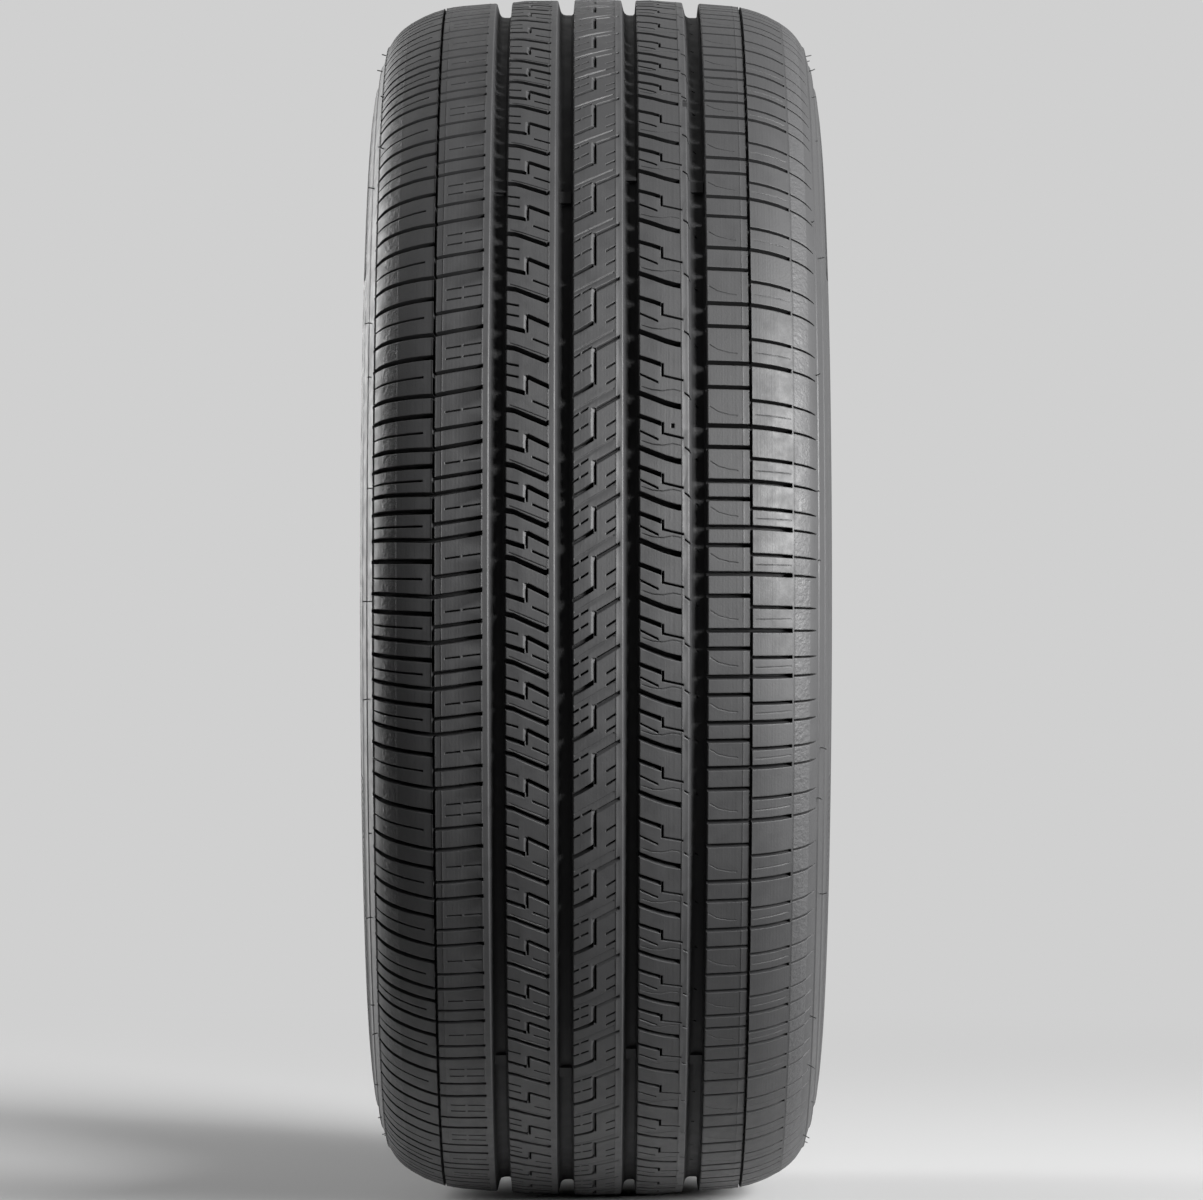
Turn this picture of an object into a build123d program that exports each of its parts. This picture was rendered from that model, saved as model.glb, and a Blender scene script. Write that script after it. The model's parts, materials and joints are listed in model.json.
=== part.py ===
"""Passenger car tyre, size 235/45 R17, off its rim.

One moulded piece: tread, sidewalls, beads and inner liner are a single body of rubber.
Frame: origin at the tyre's centre, axle along +Y, +Z up, millimetres and degrees.
A place in the section is (across, radius): across is Y, radius is the distance from the axle.
"""

import os
from math import asin, cos, degrees, radians, sin, sqrt

from build123d import *

# Overall sizes
outer_diameter = 643.3
section_width = 236.0
widest_diameter = 520.0
bead_seat_diameter = 436.6
rim_width = 203.2

# Crown and shoulders: the arcs of the section, and how far the surface has turned at their ends
crown_arc = 800.0
crown_width = 142.0
shoulder_arc = 62.0
shoulder_turn = 35.0
corner_arc = 28.0
corner_turn = 72.0

# The shoulder line is laid out in chords that stay within a millimetre of its arcs, so that
# every face is a plain cone. They meet at these shares of each arc's turn.
shoulder_chord_shares = (0.27, 0.83)
corner_chord_shares = (0.4, 1.0)

# Tread: three ribs and two shoulders, parted by wide grooves
tread_depth = 8.0
groove_width = 10.5
groove_floor_width = 6.6
centre_rib_width = 22.8
side_rib_width = 22.6

# Slots over the shoulders: level at first, then falling from the knee until they run out
slot_width = 1.8
slot_depth = 6.5
slot_knee_at = 92.0
slot_end_at = 110.0

# Pitches: the slots repeat at three spacings, in the order met going up the circumference
pitch_shares = {"S": 23.0, "M": 28.0, "L": 33.0}
pitch_order = (
    "MLLLMSMMMLMSSSMSSMLLLLML"
    "SSMLMSSMLLMSMLLSSMLMSMLLMSSMLMMSLLMSSMLLMSMLSML"
)
first_pitch_at = -73.4
left_shoulder_lead = 16.5

# Walls
tread_base = 8.5
liner_width = 168.0
liner_widest_diameter = 536.0
sidewall_thickness = 9.0

# Bead and rim protector
bead_width = 17.0
bead_heel = 5.0
bead_flank_height = 12.0
protector_diameter = 491.0
protector_inset = 1.2
filler_height = 30.0
filler_thickness = 14.0

# How far a cutter passes the surface that it opens into
cutter_room = 6.0

outer_radius = outer_diameter / 2
half_section = section_width / 2
widest_radius = widest_diameter / 2
seat_radius = bead_seat_diameter / 2
heel_at = rim_width / 2


def crown_radius(across):
    """Outer radius on the crown's own arc."""
    return outer_radius - crown_arc + sqrt(crown_arc**2 - across**2)


def on_arc(centre, radius, turn):
    """Point of a section arc where the surface has turned this far from level."""
    return (centre[0] + radius * sin(radians(turn)), centre[1] + radius * cos(radians(turn)))


def chord_ends(centre, radius, first_turn, last_turn, shares):
    """Points of a section arc at these shares of its turn."""
    return [on_arc(centre, radius, first_turn + (last_turn - first_turn) * share) for share in shares]


# Outer line of the crown and shoulder
inner_groove_at = (centre_rib_width + groove_width) / 2
outer_groove_at = inner_groove_at + groove_width + side_rib_width
crown_turn = degrees(asin(crown_width / 2 / crown_arc))
crown_end = (crown_width / 2, crown_radius(crown_width / 2))
shoulder_centre = on_arc(crown_end, -shoulder_arc, crown_turn)
shoulder_end = on_arc(shoulder_centre, shoulder_arc, shoulder_turn)
corner_centre = on_arc(shoulder_end, -corner_arc, shoulder_turn)
crown_line = [
    (inner_groove_at, outer_radius),
    (outer_groove_at, crown_radius(outer_groove_at)),
    *chord_ends(shoulder_centre, shoulder_arc, crown_turn, shoulder_turn, shoulder_chord_shares),
    *chord_ends(corner_centre, corner_arc, shoulder_turn, corner_turn, corner_chord_shares),
]
tread_edge = crown_line[-1]


def surface_radius(across):
    """Outer radius of the crown line at a distance from the centre plane."""
    for (near, high), (far, low) in zip(crown_line, crown_line[1:]):
        if near <= across <= far:
            return high + (low - high) * (across - near) / (far - near)
    return outer_radius if across < inner_groove_at else tread_edge[1]


# Sidewall, rim protector, bead and inner liner, from the tread's edge round to the crown's inside
bow = half_section - tread_edge[0]
protector_at = half_section - protector_inset
side_line = [
    (half_section - bow / 4, (tread_edge[1] + widest_radius) / 2),
    (half_section, widest_radius),
    (protector_at, protector_diameter / 2),
    (heel_at, seat_radius + bead_flank_height),
    (heel_at, seat_radius + bead_heel),
    (heel_at - bead_heel, seat_radius),
    (heel_at - bead_width, seat_radius),
    (protector_at - filler_thickness, seat_radius + filler_height),
    (half_section - sidewall_thickness, liner_widest_diameter / 2),
    (liner_width / 2, outer_radius - tread_depth - tread_base),
]
right_line = crown_line + side_line
left_line = [(-across, radius) for across, radius in reversed(right_line)]


def groove_outline(side, distance):
    """A wide groove in section: drafted walls down to a level floor."""
    across = side * distance
    rim_radius = surface_radius(distance)
    draft = (groove_width - groove_floor_width) / 2 / tread_depth
    mouth = groove_width / 2 + draft * cutter_room
    floor = groove_floor_width / 2
    return [
        (across - mouth, rim_radius + cutter_room),
        (across + mouth, rim_radius + cutter_room),
        (across + floor, rim_radius - tread_depth),
        (across - floor, rim_radius - tread_depth),
    ]


def tyre_blank():
    """The section with its grooves, turned about the axle."""
    with BuildPart() as blank:
        with BuildSketch(Plane.YZ):
            Polygon(*right_line, *left_line, align=None)
            for distance in (inner_groove_at, outer_groove_at):
                for side in (-1, 1):
                    Polygon(*groove_outline(side, distance), align=None, mode=Mode.SUBTRACT)
        revolve(axis=Axis.Y)
    return blank.part


def shoulder_slot(side):
    """Cutter for a slot that opens into the outer groove, with walls in line with the axle."""
    knee = surface_radius(slot_knee_at) - slot_depth
    end = surface_radius(slot_end_at)
    fall = (end - knee) / (slot_end_at - slot_knee_at)
    clear_at = half_section + cutter_room
    outline = [
        (side * outer_groove_at, surface_radius(outer_groove_at) - slot_depth),
        (side * slot_knee_at, knee),
        (side * clear_at, end + fall * (clear_at - slot_end_at)),
        (side * clear_at, outer_radius + cutter_room),
        (side * outer_groove_at, outer_radius + cutter_room),
    ]
    turn = degrees(slot_width / outer_radius)
    with BuildPart() as cutter:
        with BuildSketch(Plane.YX):
            Polygon(*outline, align=None)
        revolve(axis=Axis.Y, revolution_arc=turn)
    return Rot(0, -turn / 2, 0) * cutter.part


def shoulder_slots():
    """A slot at each pitch on both shoulders, the left ones ahead of the right ones."""
    left, right = shoulder_slot(-1), shoulder_slot(1)
    lead = degrees(left_shoulder_lead / outer_radius)
    turn_per_share = 360 / sum(pitch_shares[pitch] for pitch in pitch_order)
    slots = []
    angle = first_pitch_at
    for pitch in pitch_order:
        slots.append(Rot(0, -angle - lead, 0) * left)
        slots.append(Rot(0, -angle, 0) * right)
        angle += pitch_shares[pitch] * turn_per_share
    return slots


os.makedirs("parts", exist_ok=True)
export_step(tyre_blank() - shoulder_slots(), "parts/tyre.step")
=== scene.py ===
"""Car tyre off its rim, standing on a pale studio floor, seen tread-on.

The casing is a section spun about the axle. The tread's slots and sipes are modelled flat, the way
a tread drawing shows them, bent round the axle and cut out of the casing.
The mesh is modelled in millimetres and brought to metres at the end.
A place in the section is (across, radius): across is Y, radius is the distance from the axle.
A place on the flat tread is (across, along): along is the way up the circumference.
"""

import json
import random
from math import asin, cos, degrees, pi, radians, sin, sqrt, tan

import bpy
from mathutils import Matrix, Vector

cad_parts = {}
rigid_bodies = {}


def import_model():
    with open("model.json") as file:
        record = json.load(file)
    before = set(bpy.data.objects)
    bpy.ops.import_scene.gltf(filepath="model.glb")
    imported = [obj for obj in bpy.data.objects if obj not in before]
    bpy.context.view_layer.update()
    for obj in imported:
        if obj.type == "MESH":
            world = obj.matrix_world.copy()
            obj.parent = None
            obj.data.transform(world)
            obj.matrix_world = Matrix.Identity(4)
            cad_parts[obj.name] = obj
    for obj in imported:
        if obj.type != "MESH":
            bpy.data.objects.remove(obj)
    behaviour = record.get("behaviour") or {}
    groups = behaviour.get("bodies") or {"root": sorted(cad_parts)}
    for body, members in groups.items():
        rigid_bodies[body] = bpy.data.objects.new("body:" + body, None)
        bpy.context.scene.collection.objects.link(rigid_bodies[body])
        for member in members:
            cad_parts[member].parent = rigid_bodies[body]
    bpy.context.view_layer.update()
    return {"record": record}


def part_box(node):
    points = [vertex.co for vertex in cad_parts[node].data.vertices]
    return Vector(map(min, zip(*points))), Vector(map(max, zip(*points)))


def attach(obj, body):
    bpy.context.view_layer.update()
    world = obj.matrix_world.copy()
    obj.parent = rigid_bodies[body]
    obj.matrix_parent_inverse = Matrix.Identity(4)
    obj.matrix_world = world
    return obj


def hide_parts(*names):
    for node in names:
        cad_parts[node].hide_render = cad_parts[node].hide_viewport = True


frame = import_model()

record = frame["record"]
MM = 0.001

# Overall sizes, from the frame
low_corner, high_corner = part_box("tyre")
outer_radius = (high_corner.z - low_corner.z) / 2 / MM
half_section = (high_corner.y - low_corner.y) / 2 / MM
rim_seat = record["mounts"][0]["dims"]
seat_radius = rim_seat["r_mm"]
bead_heel = 5.0
heel_at = rim_seat["length_mm"] / 2 + bead_heel

# Crown and shoulders: the arcs of the section, and how far the surface has turned at their ends
crown_arc = 800.0
crown_half_width = 71.0
shoulder_arc = 62.0
shoulder_turn = 35.0
corner_arc = 28.0
corner_turn = 72.0

# Wide grooves: the edges of each at the tread's surface
wide_grooves = ((-53.0, -44.6), (-20.3, -11.4), (13.4, 21.3), (46.0, 55.0))
tread_depth = 8.0
groove_left_draft = 14.0
groove_right_draft = 5.0
groove_edge_round = 0.5
groove_left_floor_round = 3.0
groove_right_floor_round = 0.9

# Ribs: a chamfer along the right edge with a fine ridge where it starts, a flat along the left edge,
# and a slight crown between them that is highest at this share of the rib from its left
chamfer_width = 3.5
chamfer_drop = 0.1
ridge_height = 0.16
ridge_half_width = 0.25
edge_flat = 1.4
rib_crown = 0.4
rib_crown_at = 0.3

# Narrow grooves along each shoulder, with a lip (height, width) along their edges
left_narrow_groove = -80.3
right_narrow_groove = 76.5
narrow_groove_width = 1.5
narrow_groove_depth = 3.5
narrow_groove_lip = (0.25, 0.35)

# Raised rings, each (height, width): joints of the mould on the shoulders, the parting line at the
# tread's edge, and the rings on the sidewall
left_ring_places = (76.4, 99.0)
right_ring_places = (72.6, 98.0)
shoulder_ring = (0.17, 0.5)
parting_ring_turn = 65.5
parting_ring = (0.55, 1.4)
sidewall_ring_radii = (286.0, 274.5, 261.5)
sidewall_ring = (0.5, 1.6)

# Bead, rim protector and inner liner
bead_toe_at = 84.6
bead_toe_round = 2.0
bead_flank_top = 12.0
protector_radius = 247.0
protector_inset = 0.4
protector_round = 4.0
flank_at = 4.5
flank_radius = 238.0
flank_hollow = 12.0
filler_at = 15.2
filler_height = 30.0
liner_thickness = 9.0
liner_widest_radius = 268.0
liner_shoulder_at = 100.0
liner_shoulder_round = 30.0
liner_bow_round = 20.0
tread_base = 8.5

# Ribs that the curing bladder presses into the liner: how many round the tyre, and their slant
bladder_ribs = 300
bladder_rib_slant = 0.35

# Steps round the tyre, the usual turn of a step along an arc of the section, the steps of a round,
# the largest round that is made as a single flat, and the sharpest bend that is shaded as smooth
spin_steps = 120
arc_step_turn = 5.0
round_steps = 3
fine_round = 1.0
smooth_angle = 30.0

# Points closer than this are welded, and slivers narrower than this are taken out
weld_distance = 0.001
sliver_width = 0.0005

# Pitches: the slots repeat at three spacings, in the order met going up the circumference
pitch_shares = {"S": 23.0, "M": 28.0, "L": 33.0}
pitch_order = (
    "MLLLMSMMMLMSSSMSSMLLLLML"
    "SSMLMSSMLLMSMLLSSMLMSMLLMSSMLMMSLLMSSMLLMSMLSML"
)
pitch_stretch = 2 * pi * outer_radius / sum(pitch_shares[size] for size in pitch_order)
first_pitch_at = -73.4

# How far each strip's slots lead those of the right shoulder
left_shoulder_lead = 16.5
rib_two_lead = 8.3
rib_three_lead = 15.0
rib_four_lead = 16.5

# How far slots run past the edge of a groove that they open into, and how far short of one they stop
slot_overrun = 2.0
left_shoulder_stop = 3.0
rib_two_stop = 3.0
rib_three_stop = 1.6
rib_three_cut_stop = 3.0
rib_four_stop = 2.8

# Depths of what is cut into the tread, and of a slot's end that has come up through the surface
slot_depth = 6.5
sipe_depth = 5.0
arm_depth = 1.3
slope_depth = 0.8
long_slope_depth = 1.2
line_depth = 0.35
tick_depth = 1.6
run_out = -1.0

# Widths of the sipes and of the mould's lines
sipe_width = 1.2
outer_sipe_width = 1.1
fine_sipe_width = 0.9
line_width = 0.45

# Lean of the cut walls: plain walls, and the walls that lean back to catch the light
wall_lean = 4.0
slope_lean = 46.0
line_lean = 66.0

# How far a cutter stands out of the surface
cutter_room = 2.0

# Rough band along each edge of the tread: from here to here across, and down to this radius
rough_band = (98.4, 106.0)
rough_band_foot = 295.0

# Where the tread's faces get the painted shade of the recesses, a darker rubber: from and to this far down,
# and out to this far across
recess_shade_from = 1.2
recess_shade_to = tread_depth + 1.5
recess_shade_reach = 106.0

# How far a face of the inner wall may lie past its corners
wall_margin = 1.0

# Tread-wear bars across the floors of the wide grooves, and how far each groove's bar leads its set
wear_bar_height = 1.6
wear_bar_length = 8.0
wear_bar_inset = 1.0
wear_bar_root = 1.0
wear_bar_sets = 4
first_wear_bar_at = -47.6
wear_bar_leads = (-6.0, -15.0, 1.0, -6.0)

# Pits that the mould left in the tread, each (across, angle round the tyre, width, length)
tread_pits = ((37.9, 15.3, 1.7, 2.4), (45.3, 52.0, 2.6, 6.5))
pit_depth = 2.0

# Serrated bands on the sidewalls, between two of the rings
serration_radii = (262.6, 268.0, 273.4)
serration_height = 0.45
serration_root = 0.6
serration_width = 1.4
serration_pitch = 3.6
serration_bands = (-20.0, 100.0, 220.0)
serration_band_turn = 62.0

# Vent whiskers round the edges of the tread: scatter is a share of their spacing, curl of their length
whiskers_a_side = 34
whisker_sides = 5
whisker_radius = 0.3
whisker_lengths = (1.5, 4.5)
whisker_turns = (58.0, 84.0)
whisker_root = 1.0
whisker_scatter = 0.4
whisker_curl = 0.5
whisker_seed = 11

# Studio: its colours, with the floor's painted shade as the dark one, and how bright its unlit end and its
# air are as lights
backdrop_colour = "#d0d0d0"
painted_floor_shade_colour = "#3a3a3a"
unlit_share = 0.05
air_light = 0.06

# Where the studio goes from its lit to its unlit end, along X: in directions, and in metres on the floor,
# whose unlit end is painted shade
air_dims_over = (-0.3, 0.5)
floor_painted_shade_over = (0.12, 0.32)

# Floor, in metres: how far it reaches, and the distances over which it fades into the backdrop
floor_reach = 30.0
floor_fades_over = (0.5, 1.6)

# Lamps: place and size in metres, power in watts
key_lamp = ((2.24, 2.96, 1.15), (2.1, 2.1), 405)
left_lamp = ((-2.24, -2.94, 0.7), (1.4, 2.24), 150)

# Camera, from the picture's perspective: in metres, and in millimetres for the lens
camera_distance = 11 * outer_radius * MM
camera_reach = 100.0
sensor_width = 36.0
lens_length = 195.8
camera_shift = (0.0046, -0.0023)


def crown_radius(across):
    """Outer radius on the crown's own arc."""
    return outer_radius - crown_arc + sqrt(crown_arc**2 - across**2)


def on_arc(centre, radius, turn):
    """Point of a section arc where the surface has turned this far from level."""
    return (centre[0] + radius * sin(radians(turn)), centre[1] + radius * cos(radians(turn)))


# The outer line's arcs
crown_turn = degrees(asin(crown_half_width / crown_arc))
crown_end = (crown_half_width, crown_radius(crown_half_width))
shoulder_centre = on_arc(crown_end, -shoulder_arc, crown_turn)
shoulder_end = on_arc(shoulder_centre, shoulder_arc, shoulder_turn)
corner_centre = on_arc(shoulder_end, -corner_arc, shoulder_turn)
tread_edge = on_arc(corner_centre, corner_arc, corner_turn)
sidewall_arc = (half_section - tread_edge[0]) / (1 - sin(radians(corner_turn)))
sidewall_centre = on_arc(tread_edge, -sidewall_arc, corner_turn)
liner_radius = outer_radius - tread_depth - tread_base


def surface_radius(across):
    """Outer radius of the crown, shoulder and corner at a distance from the centre plane."""
    distance = abs(across)
    if distance <= crown_half_width:
        return crown_radius(distance)
    if distance <= shoulder_end[0]:
        return shoulder_centre[1] + sqrt(shoulder_arc**2 - (distance - shoulder_centre[0]) ** 2)
    reach = min(distance, tread_edge[0]) - corner_centre[0]
    return corner_centre[1] + sqrt(corner_arc**2 - reach**2)


def sidewall_turn(radius):
    """How far the sidewall's surface has turned at this distance from the axle."""
    return 90 - degrees(asin((radius - sidewall_centre[1]) / sidewall_arc))


def shoulder_place(at):
    """How far the shoulder's surface has turned at this distance from the centre plane."""
    return degrees(asin((at - shoulder_centre[0]) / shoulder_arc))


def rounded(corners):
    """A line through these corners, each (across, radius, round), with an arc at each round one.

    A fine round is a single flat, which keeps the shading of wide faces beside it even.
    """
    line = []
    for i, (across, radius, fillet) in enumerate(corners):
        here = Vector((across, radius))
        if fillet == 0:
            line.append((across, radius))
            continue
        back = (Vector(corners[i - 1][:2]) - here).normalized()
        ahead = (Vector(corners[i + 1][:2]) - here).normalized()
        half_angle = back.angle(ahead) / 2
        centre = here + (back + ahead).normalized() * fillet / sin(half_angle)
        start = (here + back * fillet / tan(half_angle) - centre).normalized()
        end = (here + ahead * fillet / tan(half_angle) - centre).normalized()
        steps = 1 if fillet <= fine_round else round_steps
        for k in range(steps + 1):
            line.append(tuple(centre + start.slerp(end, k / steps) * fillet))
    return line


def arc_line(centre, radius, first_turn, last_turn, features):
    """Points along a section arc, with features on it: lists of (turn, height above the arc)."""
    count = round((last_turn - first_turn) / arc_step_turn)
    marks = [(first_turn + (last_turn - first_turn) * i / count, 0.0) for i in range(count + 1)]
    clear = arc_step_turn / 3
    for feature in features:
        start, end = feature[0][0] - clear, feature[-1][0] + clear
        marks = [mark for mark in marks if not start < mark[0] < end] + feature
    marks.sort(key=lambda mark: mark[0])
    return [on_arc(centre, radius + height, turn) for turn, height in marks]


def ring(turn, radius, height, width):
    """A fine raised ring on an arc of this radius."""
    half_turn = degrees(width / 2 / radius)
    return [(turn - half_turn, 0.0), (turn, height), (turn + half_turn, 0.0)]


def narrow_groove(at):
    """A narrow groove in the shoulder's arc, with straight walls and a fine raised lip along each edge."""
    turn = shoulder_place(at)
    half_turn = degrees(narrow_groove_width / 2 / shoulder_arc)
    lip_height, lip_width = narrow_groove_lip
    lip_turn = half_turn + degrees(lip_width / shoulder_arc)
    floor = -narrow_groove_depth
    return [
        (turn - lip_turn, 0.0), (turn - half_turn, lip_height), (turn - half_turn, floor),
        (turn + half_turn, floor), (turn + half_turn, lip_height), (turn + lip_turn, 0.0),
    ]


def wide_groove(left, right):
    """Corners of a wide groove, with the chamfer on its left and the flat on its right."""
    floor_radius = surface_radius((left + right) / 2) - tread_depth
    left_inset = tread_depth * tan(radians(groove_left_draft))
    right_inset = tread_depth * tan(radians(groove_right_draft))
    chamfer_at = left - chamfer_width
    flat_at = right + edge_flat
    return [
        (chamfer_at - ridge_half_width, surface_radius(chamfer_at), 0),
        (chamfer_at, surface_radius(chamfer_at) + ridge_height, 0),
        (chamfer_at + ridge_half_width, surface_radius(chamfer_at), 0),
        (left, surface_radius(left) - chamfer_drop, groove_edge_round),
        (left + left_inset, floor_radius, groove_left_floor_round),
        (right - right_inset, floor_radius, groove_right_floor_round),
        (right, surface_radius(right), groove_edge_round),
        (flat_at, surface_radius(flat_at), 0),
    ]


def crown_outline():
    """The ribs and wide grooves, from left to right."""
    corners = [(-crown_half_width, crown_end[1], 0)]
    for groove, next_groove in zip(wide_grooves, wide_grooves[1:]):
        crown_at = groove[1] + (next_groove[0] - groove[1]) * rib_crown_at
        corners += wide_groove(*groove)
        corners.append((crown_at, surface_radius(crown_at) + rib_crown, 0))
    corners += wide_groove(*wide_grooves[-1])
    corners.append((*crown_end, 0))
    return rounded(corners)


def side_outline(narrow_groove_at, ring_places):
    """One side of the section, from the crown's end out and round to the liner's middle."""
    shoulder = arc_line(shoulder_centre, shoulder_arc, crown_turn, shoulder_turn, [
        narrow_groove(narrow_groove_at),
        *[ring(shoulder_place(at), shoulder_arc, *shoulder_ring) for at in ring_places],
    ])
    corner = arc_line(corner_centre, corner_arc, shoulder_turn, corner_turn, [
        ring(parting_ring_turn, corner_arc, *parting_ring),
    ])
    sidewall = arc_line(sidewall_centre, sidewall_arc, corner_turn, 90, [
        ring(sidewall_turn(radius), sidewall_arc, *sidewall_ring) for radius in sidewall_ring_radii
    ])
    bead = rounded([
        (*sidewall[-1], 0),
        (half_section - protector_inset, protector_radius, protector_round),
        (heel_at + flank_at, flank_radius, flank_hollow),
        (heel_at, seat_radius + bead_flank_top, bead_heel),
        (heel_at, seat_radius, bead_heel),
        (bead_toe_at, seat_radius, bead_toe_round),
        (half_section - filler_at, seat_radius + filler_height, liner_bow_round),
        (half_section - liner_thickness, liner_widest_radius, liner_bow_round),
        (liner_shoulder_at, liner_radius, liner_shoulder_round),
        (0.0, liner_radius, 0),
    ])
    return shoulder + corner + sidewall + bead


def start_piece(name):
    """A new empty piece in edit mode, with nothing else selected."""
    bpy.ops.object.select_all(action="DESELECT")
    bpy.ops.mesh.primitive_plane_add(size=1)
    piece = bpy.context.object
    piece.name = name
    bpy.ops.object.mode_set(mode="EDIT")
    bpy.ops.mesh.delete(type="VERT")
    return piece


def end_piece(piece):
    """Closes the piece's mesh, turns its faces outwards and leaves edit mode."""
    bpy.ops.mesh.select_all(action="SELECT")
    bpy.ops.mesh.remove_doubles(threshold=weld_distance)
    bpy.ops.mesh.normals_make_consistent(inside=False)
    bpy.ops.object.mode_set(mode="OBJECT")
    return piece


def extrude(step):
    """Extrudes what is selected by this step."""
    bpy.ops.mesh.extrude_region_move(TRANSFORM_OT_translate={"value": step})


def draw_line(points):
    """A new line of edges through these points, left selected."""
    bpy.ops.mesh.select_all(action="DESELECT")
    bpy.ops.mesh.primitive_plane_add(size=1, location=points[0])
    bpy.ops.mesh.merge(type="CENTER")
    for here, ahead in zip(points, points[1:]):
        extrude(Vector(ahead) - Vector(here))
    bpy.ops.mesh.select_linked()


def tyre_casing():
    """The section, drawn as a line and spun about the axle."""
    left_side = side_outline(-left_narrow_groove, left_ring_places)
    right_side = side_outline(right_narrow_groove, right_ring_places)
    mirrored = [(-across, radius) for across, radius in reversed(left_side)]
    outline = crown_outline() + right_side + mirrored
    piece = start_piece("tyre")
    draw_line([(radius, across, 0) for across, radius in outline])
    bpy.ops.mesh.remove_doubles(threshold=weld_distance)
    bpy.ops.mesh.spin(
        steps=spin_steps, angle=2 * pi, center=(0, 0, 0), axis=(0, 1, 0), use_auto_merge=True
    )
    return end_piece(piece)


def cut_path(path, width, depth, sideways=False, leans=(wall_lean, wall_lean)):
    """A cutter along a path of (across, along) points, or (across, along, depth) where it varies.

    It stands in the flat tread, with its height along X. Its width is measured at the surface,
    along the circumference, or across the tread where the cutter itself runs sideways to that.
    Its two walls lean outwards by these angles.
    """
    near_lean, far_lean = [tan(radians(lean)) for lean in leans]
    wide = Vector((0, 1, 0)) if sideways else Vector((0, 0, 1))
    high = Vector((1, 0, 0))
    floor = []
    for across, along, *own_depth in path:
        below = own_depth[0] if own_depth else depth
        floor.append(Vector((surface_radius(across) - outer_radius - below, across, along)))
    draw_line([
        floor[0] + wide * (depth * near_lean - width / 2),
        floor[0] + wide * (width / 2 - depth * far_lean),
        floor[0] + wide * (width / 2 + cutter_room * far_lean) + high * (depth + cutter_room),
        floor[0] - wide * (width / 2 + cutter_room * near_lean) + high * (depth + cutter_room),
    ])
    bpy.ops.mesh.edge_face_add()
    for here, ahead in zip(floor, floor[1:]):
        extrude(ahead - here)


def is_long(pitch):
    """Whether a pitch is of the longest size, which has room for more and longer sipes."""
    return pitch > pitch_shares["M"] * pitch_stretch


def rib_two_step(pitch):
    """Foot and head of the step in the stepped slot left of the middle."""
    return rib_two_lead + 0.335 * pitch - 3.0, rib_two_lead + 0.5 * pitch


def rib_three_step(pitch):
    """Foot and head of the step in the middle rib's slot."""
    return rib_three_lead + 5.6, rib_three_lead + 0.74 * pitch


def rib_four_step(pitch):
    """Foot and head of the step in the stepped slot right of the middle."""
    head = rib_four_lead + 0.575 * pitch - 4.1
    return head - 0.178 * pitch, head


def left_shoulder_slots(pitch):
    """Slots of the left shoulder: two a pitch and a sipe over its outer strip, two over its inner strip."""
    neck = left_narrow_groove
    inner_end = wide_grooves[0][0] - left_shoulder_stop
    at = left_shoulder_lead
    cut_path([
        (-113, at + 2.0, run_out), (-108, at + 1.7), (-104, at + 1.5), (-98, at + 1.1), (-90, at + 0.6),
        (neck, at), (-70, at + 1.5), (inner_end, at + 3.8),
    ], width=2.4, depth=slot_depth)
    at = left_shoulder_lead + 0.63 * pitch
    cut_path([
        (-113, at + 1.2, run_out), (-108, at + 1.0), (-104, at + 0.8), (-98, at + 0.6), (-90, at + 0.3),
        (neck, at),
    ], width=2.6, depth=slot_depth)
    at = left_shoulder_lead + 0.32 * pitch
    cut_path([
        (-112.5, at + 1.0, run_out), (-107, at + 0.8), (-103, at + 0.6), (-96, at + 0.3), (-85.5, at),
    ], width=outer_sipe_width, depth=sipe_depth)
    at = left_shoulder_lead + 0.35 * pitch
    cut_path([(neck, at), (-68, at + 1.7), (inner_end, at + 3.5)], width=2.0, depth=slot_depth)
    shares = (0.58, 0.76) if is_long(pitch) else (0.68,)
    for share in shares:
        at = left_shoulder_lead + share * pitch
        cut_path([(-74.5, at), (-67.0, at + 1.0)], width=fine_sipe_width, depth=sipe_depth)
        cut_path([(-65.8, at + 1.2), (-57.0, at + 2.4)], width=fine_sipe_width, depth=sipe_depth)


def rib_two_slots(pitch):
    """Slots of the rib left of the middle: a long slant, the arms of a stepped slot and short sipes."""
    left = wide_grooves[0][1] - slot_overrun
    right = wide_grooves[1][0] - rib_two_stop
    at = rib_two_lead
    cut_path([
        (left, at + 0.2), (-40.4, at - 1.0), (-34.4, at - 3.8), (-24.9, at - 8.0), (right, at - 7.2),
    ], width=2.8, depth=slot_depth)
    foot, head = rib_two_step(pitch)
    cut_path([(left, foot + 3.6), (-35.2, foot)], width=2.5, depth=slot_depth)
    cut_path([(-33.7, head), (right, head - 5.2)], width=2.6, depth=slot_depth)
    at = rib_two_lead + 0.12 * pitch
    cut_path([(-31.5, at), (right, at - 3.6)], width=sipe_width, depth=sipe_depth)
    shares = (0.745, 0.566) if is_long(pitch) else (0.66,)
    for share in shares:
        at = rib_two_lead + share * pitch
        cut_path([(left, at), (-38.3, at - 2.2)], width=sipe_width, depth=sipe_depth)


def rib_two_steps(pitch):
    """The part of the stepped slot that runs along the rib."""
    foot, head = rib_two_step(pitch)
    cut_path([(-34.1, foot - 0.8), (-34.1, head + 0.85)], width=1.0, depth=slot_depth, sideways=True)


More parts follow.
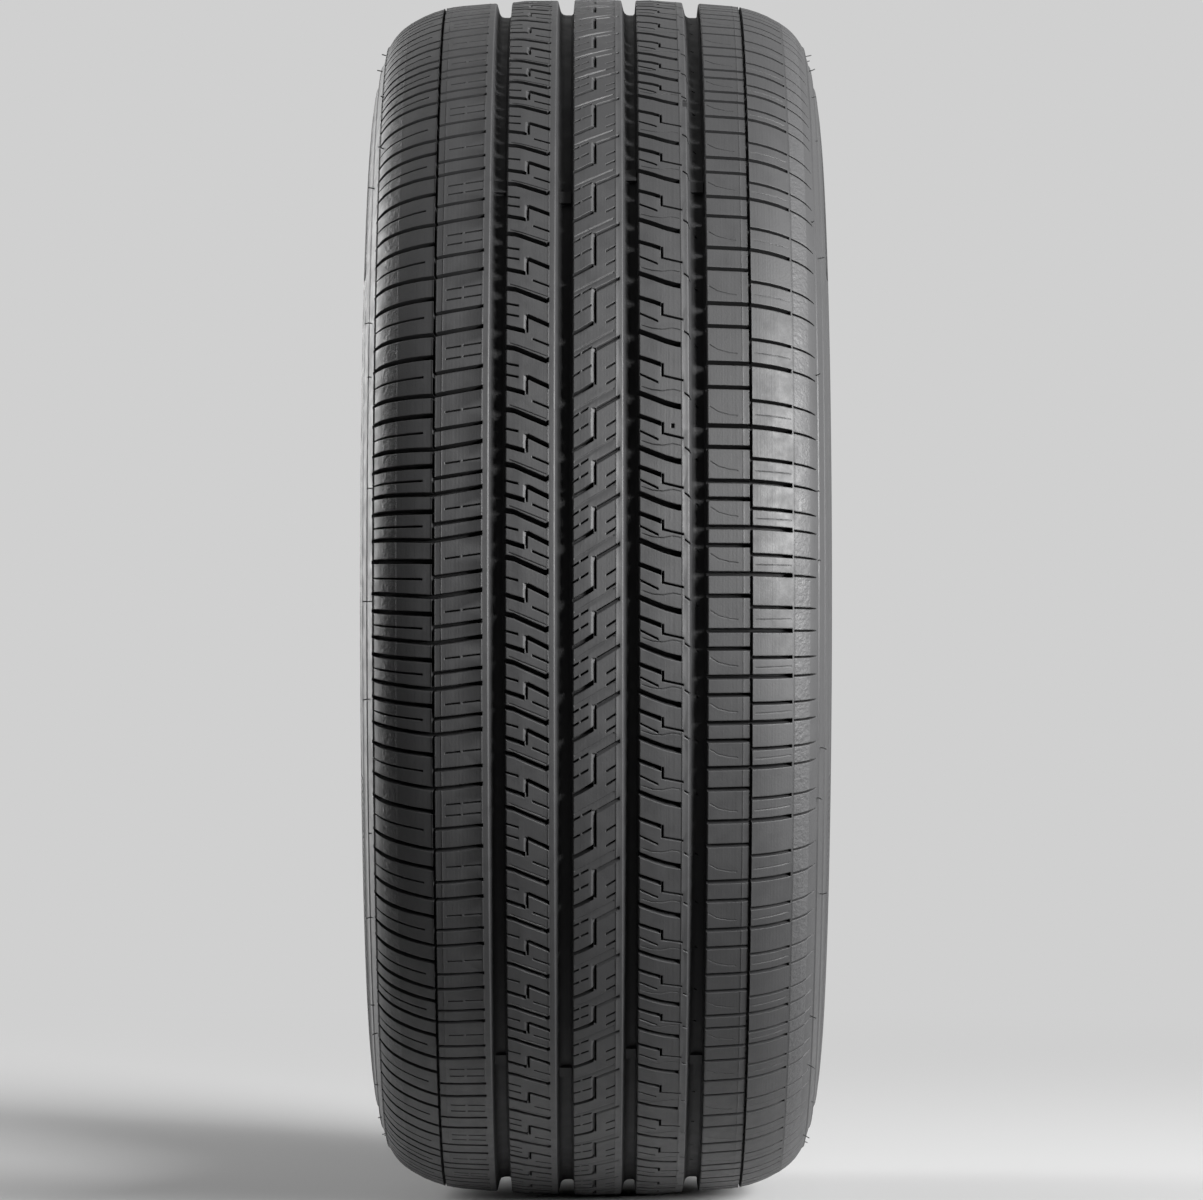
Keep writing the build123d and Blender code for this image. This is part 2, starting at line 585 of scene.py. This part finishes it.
def rib_three_slots(pitch):
    """Slots of the middle rib: arms that rise to the right, and short sipes."""
    left = wide_grooves[1][1] - slot_overrun
    right = wide_grooves[2][0] - rib_three_stop
    at = rib_three_lead
    cut_path([(left, at - 1.2, 4.5), (-8.0, at + 1.7, 4.0), (-1.2, at + 6.0)], width=2.6, depth=slot_depth)
    _, head = rib_three_step(pitch)
    cut_path([(0.1, head), (right, head + 6.9)], width=2.3, depth=arm_depth, leans=(slope_lean, wall_lean))
    reach = 9.0 if is_long(pitch) else 7.4
    for share in (0.31, 0.60):
        at = rib_three_lead + share * pitch
        for start, end in ((-0.1, 0.36), (0.48, 1.0)):
            cut_path([
                (-11.2 + start * reach, at + 0.62 * start * reach),
                (-11.2 + end * reach, at + 0.62 * end * reach),
            ], width=sipe_width, depth=sipe_depth)
    for share in (0.17, 0.42):
        at = rib_three_lead + share * pitch
        cut_path([(5.0, at + 0.5), (9.7, at + 3.6)], width=sipe_width, depth=sipe_depth)


def rib_three_steps(pitch):
    """The part of the middle rib's slot that runs along it, and a fine cut in the floor of its right arm."""
    foot, head = rib_three_step(pitch)
    right = wide_grooves[2][0] - rib_three_cut_stop
    cut_path([(-0.2, foot), (-0.2, head + 0.5)], width=0.8, depth=slot_depth, sideways=True)
    cut_path([(0.5, head + 0.9), (right, head + 6.8)], width=fine_sipe_width, depth=slot_depth)


def rib_four_slots(pitch):
    """Slots of the rib right of the middle: a curved slot, the arms of a stepped slot and a sipe."""
    left = wide_grooves[2][1] - slot_overrun
    right = wide_grooves[3][0] - rib_four_stop
    at = rib_four_lead
    cut_path([
        (left, at + 0.8), (28.4, at - 3.0), (34.4, at - 5.3), (39.9, at - 6.8), (42.0, at - 7.1),
    ], width=3.0, depth=slot_depth)
    foot, head = rib_four_step(pitch)
    cut_path([(left, head + 4.9), (32.2, head)], width=2.5, depth=slot_depth)
    cut_path([(33.5, foot), (right, foot - 2.2)], width=sipe_width, depth=sipe_depth)
    at = rib_four_lead + 0.30 * pitch
    cut_path([(left + 2.4, at), (30.8, at - 4.5)], width=sipe_width, depth=sipe_depth)


def rib_four_steps(pitch):
    """The part of the stepped slot that runs along the rib."""
    foot, head = rib_four_step(pitch)
    cut_path([(32.9, foot - 0.4), (32.9, head + 0.85)], width=sipe_width, depth=slot_depth, sideways=True)


def right_shoulder_slots(pitch):
    """Slots of the right shoulder: one right over it, and one on each of its strips."""
    neck = right_narrow_groove
    inner_end = wide_grooves[3][1] - slot_overrun
    cut_path([
        (inner_end, 0), (66, 0), (neck, 0), (84, -0.2), (91, -0.4), (97, -0.6),
    ], width=2.4, depth=slot_depth)
    cut_path([
        (97.8, -0.7), (102, -0.9), (106, -1.1), (110, -1.4, run_out),
    ], width=sipe_width, depth=sipe_depth)
    at = 0.61 * pitch
    cut_path([(inner_end, at), (66, at), (neck, at)], width=2.2, depth=slot_depth)
    at = 0.415 * pitch
    cut_path([(neck, at), (84, at - 0.2), (91, at - 0.4), (97, at - 0.6)], width=1.8, depth=slot_depth)
    cut_path([
        (97.8, at - 0.7), (102, at - 0.9), (106, at - 1.1), (110, at - 1.4, run_out),
    ], width=outer_sipe_width, depth=sipe_depth)


def step_slopes(pitch):
    """Slopes that lead down into the steps of the second and the middle rib from their left."""
    leans = (slope_lean, wall_lean)
    foot, head = rib_two_step(pitch)
    cut_path(
        [(-34.7, foot + 1.0), (-34.7, head + 1.0)],
        width=1.5, depth=slope_depth, sideways=True, leans=leans,
    )
    foot, head = rib_three_step(pitch)
    cut_path(
        [(-0.9, foot), (-0.9, head + 0.8)],
        width=2.0, depth=long_slope_depth, sideways=True, leans=leans,
    )


def mould_lines(pitch):
    """Shallow lines that the mould's joints leave over the ribs and the right shoulder."""
    step_slopes(pitch)
    at = rib_three_lead + 0.60 * pitch + 3.1
    cut_path([(-10.8, at), (9.0, at + 11.9)], width=1.2, depth=line_depth, leans=(line_lean, wall_lean))
    at = rib_two_lead
    cut_path([(-43.0, at + 2.2), (-37, at - 0.2), (-24.5, at - 5.4)], width=line_width, depth=line_depth)
    at = rib_four_lead
    cut_path([
        (22.4, at + 3.4), (28, at + 1.5), (33, at + 1.1), (38, at + 2.0), (41.6, at + 1.2),
    ], width=line_width, depth=line_depth)
    at = rib_four_lead + 0.4
    cut_path([
        (43.6, at, tick_depth), (45.4, at - 1.3, 2.2), (46.8, at - 2.4, 4.5), (49.9, at - 4.6, 9.0),
        (50.8, at - 5.2, 9.0),
    ], width=1.1, depth=tick_depth)
    cut_path([(56.2, 10.0), (60.5, 7.2), (66, 5.8), (70, 5.4)], width=line_width, depth=line_depth)
    at = 0.19 * pitch
    cut_path([(78.5, at), (88, at), (96.5, at)], width=line_width, depth=line_depth)


def round_the_axle(piece):
    """Bends what lies on the flat tread round the axle."""
    heights = [vertex.co.z for vertex in piece.data.vertices]
    bend = piece.modifiers.new("round the axle", "SIMPLE_DEFORM")
    bend.deform_method = "BEND"
    bend.deform_axis = "Y"
    bend.angle = -(max(heights) - min(heights)) / outer_radius
    bpy.ops.object.modifier_apply(modifier=bend.name)
    bpy.ops.transform.translate(value=(outer_radius, 0, 0))
    bpy.ops.object.transform_apply(location=True, rotation=True, scale=True)


def tread_cutters(name, strips):
    """The slots of these strips for one pitch of each size, copied along the tread and bent round."""
    masters = {}
    for size, share in pitch_shares.items():
        masters[size] = start_piece(name + "_" + size)
        for strip in strips:
            strip(share * pitch_stretch)
        end_piece(masters[size])
    bpy.ops.object.select_all(action="DESELECT")
    along = radians(first_pitch_at) * outer_radius
    for size in pitch_order:
        copy = masters[size].copy()
        copy.data = masters[size].data.copy()
        copy.location.z = along
        bpy.context.collection.objects.link(copy)
        copy.select_set(True)
        bpy.context.view_layer.objects.active = copy
        along += pitch_shares[size] * pitch_stretch
    bpy.ops.object.join()
    bpy.ops.object.transform_apply(location=True, rotation=True, scale=True)
    cutters = bpy.context.object
    for master in masters.values():
        bpy.data.objects.remove(master)
    round_the_axle(cutters)
    return cutters


def mould_pits():
    """Cutters for the single pits in the tread."""
    piece = start_piece("mould_pits")
    for across, angle, width, length in tread_pits:
        along = radians(angle) * outer_radius
        ends = [(across, along - length / 2), (across, along + length / 2)]
        cut_path(ends, width, pit_depth, sideways=True)
    end_piece(piece)
    round_the_axle(piece)
    return piece


def wear_bars():
    """Low bars across the floors of the wide grooves, in sets round the tyre."""
    piece = start_piece("wear_bars")
    for k in range(wear_bar_sets):
        set_along = radians(first_wear_bar_at + 360 * k / wear_bar_sets) * outer_radius
        for (left, right), lead in zip(wide_grooves, wear_bar_leads):
            along = set_along + lead
            low, high = along - wear_bar_length / 2, along + wear_bar_length / 2
            start, end = left + wear_bar_inset, right - wear_bar_inset
            foot = surface_radius((left + right) / 2) - outer_radius - tread_depth - wear_bar_root
            draw_line([(foot, start, low), (foot, start, high), (foot, end, high), (foot, end, low)])
            bpy.ops.mesh.edge_face_add()
            extrude((wear_bar_height + wear_bar_root, 0, 0))
    end_piece(piece)
    round_the_axle(piece)
    return piece


def serrations():
    """Fine radial ribs in bands on both sidewalls, one modelled and the rest copied round."""
    piece = start_piece("serrations")
    ribs_a_band = round(radians(serration_band_turn) * serration_radii[1] / serration_pitch)
    turns = [sidewall_turn(radius) for radius in serration_radii]
    tops = [on_arc(sidewall_centre, sidewall_arc + serration_height, turn) for turn in turns]
    roots = [on_arc(sidewall_centre, sidewall_arc - serration_root, turn) for turn in turns]
    for side in (-1, 1):
        for band in serration_bands:
            draw_line([
                (radius, side * across, -serration_width / 2) for across, radius in tops + roots[::-1]
            ])
            bpy.ops.mesh.edge_face_add()
            extrude((0, 0, serration_width))
            bpy.ops.mesh.select_linked()
            bpy.ops.transform.rotate(value=radians(band), orient_axis="Y", center_override=(0, 0, 0))
            bpy.ops.mesh.spin(
                steps=ribs_a_band, angle=radians(serration_band_turn), center=(0, 0, 0), axis=(0, -1, 0),
                dupli=True,
            )
    return end_piece(piece)


def vent_whiskers():
    """Thin hairs of rubber from the mould's vents, standing on both edges of the tread."""
    draws = random.Random(whisker_seed)
    piece = start_piece("vent_whiskers")
    for side in (-1, 1):
        for k in range(whiskers_a_side):
            angle = 2 * pi * (k + draws.uniform(-whisker_scatter, whisker_scatter)) / whiskers_a_side
            turn = draws.uniform(*whisker_turns)
            length = draws.uniform(*whisker_lengths)
            across, radius = on_arc(corner_centre, corner_arc - whisker_root, turn)
            rise = cos(radians(turn))
            out = Vector((rise * cos(angle), side * sin(radians(turn)), rise * sin(angle)))
            curl = Vector((-sin(angle), 0, cos(angle))) * draws.uniform(-whisker_curl, whisker_curl)
            bpy.ops.mesh.select_all(action="DESELECT")
            bpy.ops.mesh.primitive_circle_add(
                vertices=whisker_sides, radius=whisker_radius, fill_type="NGON",
                location=(radius * cos(angle), side * across, radius * sin(angle)),
                rotation=out.to_track_quat("Z", "Y").to_euler(),
            )
            extrude(out * (whisker_root + length / 2))
            extrude((out + curl) * length / 2)
    return end_piece(piece)


def combine(piece, other, operation):
    """Cuts the other piece out of this one, or joins the two into one body."""
    bpy.ops.object.select_all(action="DESELECT")
    bpy.context.view_layer.objects.active = piece
    piece.select_set(True)
    boolean = piece.modifiers.new(operation.lower(), "BOOLEAN")
    boolean.operation = operation
    boolean.solver = "MANIFOLD"
    boolean.object = other
    bpy.ops.object.modifier_apply(modifier=boolean.name)
    bpy.data.objects.remove(other)


def clean(piece):
    """Takes out what cutting leaves behind: slivers of no area, stray edges and loose crumbs.

    A crumb is what doesn't hang together with the point nearest the axle, which lies on a bead.
    """
    bpy.ops.object.mode_set(mode="EDIT")
    bpy.ops.mesh.select_all(action="SELECT")
    bpy.ops.mesh.dissolve_degenerate(threshold=sliver_width)
    bpy.ops.mesh.select_all(action="SELECT")
    bpy.ops.mesh.delete_loose()
    bpy.ops.mesh.select_mode(type="VERT")
    bpy.ops.mesh.select_all(action="DESELECT")
    bpy.ops.object.mode_set(mode="OBJECT")
    innermost = min(piece.data.vertices, key=lambda vertex: vertex.co.x**2 + vertex.co.z**2)
    innermost.select = True
    bpy.ops.object.mode_set(mode="EDIT")
    bpy.ops.mesh.select_linked()
    bpy.ops.mesh.select_all(action="INVERT")
    bpy.ops.mesh.delete(type="VERT")
    bpy.ops.object.mode_set(mode="OBJECT")


def srgb(hex_colour):
    """Linear colour from an sRGB hex value."""
    shares = [int(hex_colour[i:i + 2], 16) / 255 for i in (1, 3, 5)]
    linear = [share / 12.92 if share <= 0.04045 else ((share + 0.055) / 1.055) ** 2.4 for share in shares]
    return (*linear, 1.0)


def set_inputs(owner, node, inputs):
    """Sets a node's inputs to values, or links them from other nodes' sockets."""
    for name, value in inputs.items():
        if isinstance(value, bpy.types.NodeSocket):
            owner.node_tree.links.new(value, node.inputs[name])
        else:
            node.inputs[name].default_value = value


def add_node(owner, kind, settings=(), inputs=()):
    """A node with its settings and its inputs."""
    node = owner.node_tree.nodes.new(kind)
    for name, value in dict(settings).items():
        setattr(node, name, value)
    set_inputs(owner, node, dict(inputs))
    return node


def maths(owner, operation, *values):
    """What this operation makes of these values or sockets."""
    node = add_node(owner, "ShaderNodeMath", {"operation": operation}, dict(enumerate(values)))
    return node.outputs[0]


def noise(owner, place, size, detail, roughness=0.5, dimensions="3D"):
    """Noise with lumps of about this many millimetres."""
    return add_node(owner, "ShaderNodeTexNoise", {"noise_dimensions": dimensions}, {
        "Vector": place, "Scale": 1 / (size * MM), "Detail": detail, "Roughness": roughness,
    }).outputs["Fac"]


def carried(owner, value, source, target, steps="LINEAR"):
    """A value carried over from one range to another."""
    return add_node(owner, "ShaderNodeMapRange", {"interpolation_type": steps}, {
        "Value": value, "From Min": source[0], "From Max": source[1],
        "To Min": target[0], "To Max": target[1],
    }).outputs["Result"]


def tint(owner, share, first, second, clamped=True):
    """A colour between two sRGB hex values, or past them where the share isn't clamped."""
    return add_node(owner, "ShaderNodeMix", {"data_type": "RGBA", "clamp_factor": clamped}, {
        "Factor": share, 6: srgb(first), 7: srgb(second),
    }).outputs[2]


def mixed_shader(owner, share, first, second):
    """The first shader at a share of nought, the second at one."""
    return add_node(owner, "ShaderNodeMixShader", {}, {0: share, 1: first, 2: second}).outputs[0]


def new_material(name):
    """A new material, its shader, and the place on the object that its patterns follow."""
    material = bpy.data.materials.new(name)
    material.use_nodes = True
    place = add_node(material, "ShaderNodeTexCoord").outputs["Object"]
    return material, material.node_tree.nodes["Principled BSDF"], place


def section_place(owner, place):
    """A place's distance across the tyre and its distance from the axle."""
    apart = add_node(owner, "ShaderNodeSeparateXYZ", {}, {0: place}).outputs
    level = add_node(owner, "ShaderNodeCombineXYZ", {}, {"X": apart["X"], "Y": apart["Z"]})
    radius = add_node(owner, "ShaderNodeVectorMath", {"operation": "LENGTH"}, {0: level.outputs[0]})
    return apart["Y"], radius.outputs["Value"]


def turned_lines(owner, across, radius):
    """Fine rings about the axle, about 1.2 mm apart, as a mould turned on a lathe leaves them."""
    section = add_node(owner, "ShaderNodeCombineXYZ", {}, {"X": across, "Y": radius})
    return noise(owner, section.outputs[0], size=1.2, detail=2.0, dimensions="2D")


def edge_band(owner, across, radius):
    """One on the rough band along each edge of the tread, nought elsewhere."""
    middle, half_width = sum(rough_band) / 2, (rough_band[1] - rough_band[0]) / 2
    band = maths(owner, "COMPARE", maths(owner, "ABSOLUTE", across), middle * MM, half_width * MM)
    outside = maths(owner, "GREATER_THAN", radius, rough_band_foot * MM)
    return maths(owner, "MULTIPLY", band, outside)


def moulded_rubber():
    """Carbon-black tread rubber, moulded: near black, with a satin skin and a faint dry grey bloom."""
    rubber, shader, place = new_material("carbon_black_rubber_moulded")
    across, radius = section_place(rubber, place)
    band = edge_band(rubber, across, radius)
    bloom = noise(rubber, place, size=40, detail=4.0, roughness=0.6)
    paler = maths(rubber, "MULTIPLY_ADD", band, 0.9, bloom)
    mottle = noise(rubber, place, size=9, detail=5.0, roughness=0.65)
    grain = noise(rubber, place, size=1.1, detail=3.0, roughness=0.6)
    relief = maths(rubber, "MULTIPLY_ADD", turned_lines(rubber, across, radius), 0.8, grain)
    pits = maths(rubber, "MULTIPLY", band, noise(rubber, place, size=2.4, detail=3.0, roughness=0.6))
    relief = maths(rubber, "MULTIPLY_ADD", pits, 9.0, relief)
    edges = add_node(rubber, "ShaderNodeBevel", {"samples": 4}, {"Radius": 0.8 * MM})
    bump = add_node(rubber, "ShaderNodeBump", {}, {
        "Height": relief, "Strength": 0.6, "Distance": 0.12 * MM, "Normal": edges.outputs["Normal"],
    })
    set_inputs(rubber, shader, {
        "Base Color": tint(rubber, paler, "#2e2e2f", "#3a3a3b", clamped=False),
        "Roughness": carried(rubber, mottle, (0.35, 0.65), (0.53, 0.67)),
        "Normal": bump.outputs["Normal"],
        "IOR": 1.7,
    })
    return rubber


def painted_shade_recess_rubber():
    """The same rubber down in the grooves and slots, painted darker and with less gloss: painted shade in
    the recesses, a deep, dull black.
    """
    rubber, shader, place = new_material("carbon_black_rubber_painted_recess_shade")
    mottle = noise(rubber, place, size=9, detail=4.0, roughness=0.6)
    lines = turned_lines(rubber, *section_place(rubber, place))
    bump = add_node(rubber, "ShaderNodeBump", {}, {
        "Height": lines, "Strength": 0.5, "Distance": 0.12 * MM,
    })
    set_inputs(rubber, shader, {
        # Painted shade: darker than the moulded rubber's colour, standing in for the shade in the grooves
        # and slots
        "Base Color": tint(rubber, mottle, "#282829", "#323233"),
        "Roughness": carried(rubber, mottle, (0.35, 0.65), (0.6, 0.72)),
        "Normal": bump.outputs["Normal"],
        "IOR": 1.48,
    })
    return rubber


def butyl_liner():
    """Butyl inner liner, pressed by a ribbed bladder: hazy, smooth black with fine slanting ribs."""
    butyl, shader, place = new_material("butyl_liner_bladder_pressed")
    haze = noise(butyl, place, size=60, detail=4.0, roughness=0.6)
    apart = add_node(butyl, "ShaderNodeSeparateXYZ", {}, {0: place}).outputs
    angle = maths(butyl, "ARCTAN2", apart["Z"], apart["X"])
    slanted = maths(butyl, "MULTIPLY_ADD", apart["Y"], bladder_rib_slant / (liner_radius * MM), angle)
    ribs = maths(butyl, "SINE", maths(butyl, "MULTIPLY", slanted, bladder_ribs))
    bump = add_node(butyl, "ShaderNodeBump", {}, {
        "Height": ribs, "Strength": 0.4, "Distance": 0.3 * MM,
    })
    set_inputs(butyl, shader, {
        "Base Color": tint(butyl, haze, "#171718", "#2b2b2d"),
        "Roughness": carried(butyl, haze, (0.3, 0.7), (0.4, 0.52)),
        "Normal": bump.outputs["Normal"],
        "IOR": 1.55,
    })
    return butyl


def gets_painted_recess_shade(across, radius, normal):
    """Whether a face lies down in a groove or slot of the tread, whichever way it looks; such faces get the
    painted shade of the recesses.
    """
    depth = surface_radius(across) - radius
    return abs(across) < recess_shade_reach and recess_shade_from < depth < recess_shade_to


def is_inside(across, radius, normal):
    """Whether a face belongs to the inner wall, from one bead's toe to the other's."""
    if not seat_radius + wall_margin <= radius <= liner_radius + wall_margin:
        return False
    if abs(across) > half_section - liner_thickness + wall_margin:
        return False
    return normal.dot(Vector((-across, liner_widest_radius - radius))) > 0


def finish_faces(piece, slot, belongs):
    """Gives the piece's material in this slot to the faces that belong to it."""
    piece.active_material_index = slot
    bpy.ops.object.mode_set(mode="EDIT")
    bpy.ops.mesh.select_mode(type="FACE")
    bpy.ops.mesh.select_all(action="DESELECT")
    bpy.ops.object.mode_set(mode="OBJECT")
    for face in piece.data.polygons:
        centre, normal = face.center / MM, face.normal
        radius = sqrt(centre.x**2 + centre.z**2)
        outward = (normal.x * centre.x + normal.z * centre.z) / radius
        face.select = belongs(centre.y, radius, Vector((normal.y, outward)))
    bpy.ops.object.mode_set(mode="EDIT")
    bpy.ops.object.material_slot_assign()
    bpy.ops.object.mode_set(mode="OBJECT")


def paleness(owner, forward, dims_over):
    """One for camera rays, and for the rest one at the studio's lit end, falling to a little in front."""
    rays = add_node(owner, "ShaderNodeLightPath").outputs
    lit_end = carried(owner, forward, dims_over, (1.0, unlit_share), "SMOOTHSTEP")
    return maths(owner, "MAXIMUM", lit_end, rays["Is Camera Ray"])


def seen_rays(owner):
    """One for the rays that show a background: camera, glossy and transmission rays."""
    rays = add_node(owner, "ShaderNodeLightPath").outputs
    seen = maths(owner, "MAXIMUM", rays["Is Camera Ray"], rays["Is Glossy Ray"])
    return maths(owner, "MAXIMUM", seen, rays["Is Transmission Ray"])


def studio_air():
    """A world that is pale to look at and dim as a light, with the studio's unlit end towards +X."""
    world = bpy.data.worlds.new("studio_air")
    bpy.context.scene.world = world
    world.use_nodes = True
    dim = world.node_tree.nodes["Background"]
    set_inputs(world, dim, {"Color": srgb(backdrop_colour), "Strength": air_light})
    direction = add_node(world, "ShaderNodeTexCoord").outputs["Generated"]
    forward = add_node(world, "ShaderNodeSeparateXYZ", {}, {0: direction}).outputs["X"]
    bright = add_node(world, "ShaderNodeBackground", {}, {
        "Color": srgb(backdrop_colour), "Strength": paleness(world, forward, air_dims_over),
    })
    set_inputs(world, world.node_tree.nodes["World Output"], {
        "Surface": mixed_shader(world, seen_rays(world), dim.outputs[0], bright.outputs[0]),
    })


def floor_paint():
    """Matt floor paint: plain near the tyre, and running into the backdrop's colour far off. To all but
    camera rays it is painted dark in front of the tyre: painted shade that the tyre's bounced and reflected
    light meets.
    """
    paint, matt, place = new_material("floor_paint_matt")
    forward = add_node(paint, "ShaderNodeSeparateXYZ", {}, {0: place}).outputs["X"]
    pale = paleness(paint, forward, floor_painted_shade_over)
    set_inputs(paint, matt, {
        # Painted shade: to all but camera rays the floor in front of the tyre takes the dark colour, though
        # the key lamp lights it
        "Base Color": tint(paint, pale, painted_floor_shade_colour, backdrop_colour), "Roughness": 0.9,
    })
    glow = add_node(paint, "ShaderNodeEmission", {}, {"Color": srgb(backdrop_colour), "Strength": pale})
    far = mixed_shader(paint, seen_rays(paint), matt.outputs[0], glow.outputs[0])
    distance = add_node(paint, "ShaderNodeVectorMath", {"operation": "LENGTH"}, {0: place})
    fade = carried(paint, distance.outputs["Value"], floor_fades_over, (0.0, 1.0), "SMOOTHSTEP")
    set_inputs(paint, paint.node_tree.nodes["Material Output"], {
        "Surface": mixed_shader(paint, fade, matt.outputs[0], far),
    })
    return paint


def studio_floor():
    """A wide round floor under the tyre."""
    bpy.ops.object.select_all(action="DESELECT")
    bpy.ops.mesh.primitive_circle_add(
        vertices=96, radius=floor_reach, fill_type="NGON", location=(0, 0, low_corner.z)
    )
    floor = bpy.context.object
    floor.name = "studio_floor"
    bpy.ops.object.transform_apply(location=True, rotation=True, scale=True)
    floor.data.materials.append(floor_paint())


def softbox(name, place, size, power):
    """A lamp of this width and height, turned towards the tyre."""
    bpy.ops.object.light_add(type="AREA", location=place)
    lamp = bpy.context.object
    lamp.name = name
    lamp.data.shape = "RECTANGLE"
    lamp.data.size, lamp.data.size_y = size
    lamp.data.energy = power
    lamp.rotation_euler = (-Vector(place)).to_track_quat("-Z", "Y").to_euler()


def camera():
    """Level with the axle, on the tread side, far off with a long lens."""
    bpy.ops.object.camera_add(location=(camera_distance, 0, 0), rotation=(pi / 2, 0, pi / 2))
    eye = bpy.context.object
    eye.data.lens = lens_length
    eye.data.sensor_width = sensor_width
    eye.data.shift_x, eye.data.shift_y = camera_shift
    eye.data.clip_end = camera_reach
    bpy.context.scene.camera = eye


# The tyre, cut and joined in millimetres, then brought to metres and finished
tyre = tyre_casing()
combine(tyre, tread_cutters("slots", (
    left_shoulder_slots, rib_two_slots, rib_three_slots, rib_four_slots, right_shoulder_slots,
)), "DIFFERENCE")
combine(tyre, tread_cutters("steps", (rib_two_steps, rib_three_steps, rib_four_steps)), "DIFFERENCE")
combine(tyre, tread_cutters("lines", (mould_lines,)), "DIFFERENCE")
combine(tyre, mould_pits(), "DIFFERENCE")
combine(tyre, wear_bars(), "UNION")
combine(tyre, serrations(), "UNION")
combine(tyre, vent_whiskers(), "UNION")
clean(tyre)
tyre.name = "tyre_rubber"
tyre.scale = (MM, MM, MM)
bpy.ops.object.transform_apply(location=True, rotation=True, scale=True)
bpy.ops.object.shade_smooth_by_angle(angle=radians(smooth_angle))
tyre.data.materials.clear()
tyre.data.materials.append(moulded_rubber())
tyre.data.materials.append(painted_shade_recess_rubber())
tyre.data.materials.append(butyl_liner())
# The faces down in the grooves and slots get the rubber with the painted shade
finish_faces(tyre, 1, gets_painted_recess_shade)
finish_faces(tyre, 2, is_inside)
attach(tyre, "root")
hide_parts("tyre")

# The studio
studio_air()
studio_floor()
softbox("key_softbox", *key_lamp)
softbox("left_softbox", *left_lamp)
camera()
bpy.context.scene.view_settings.view_transform = "Standard"
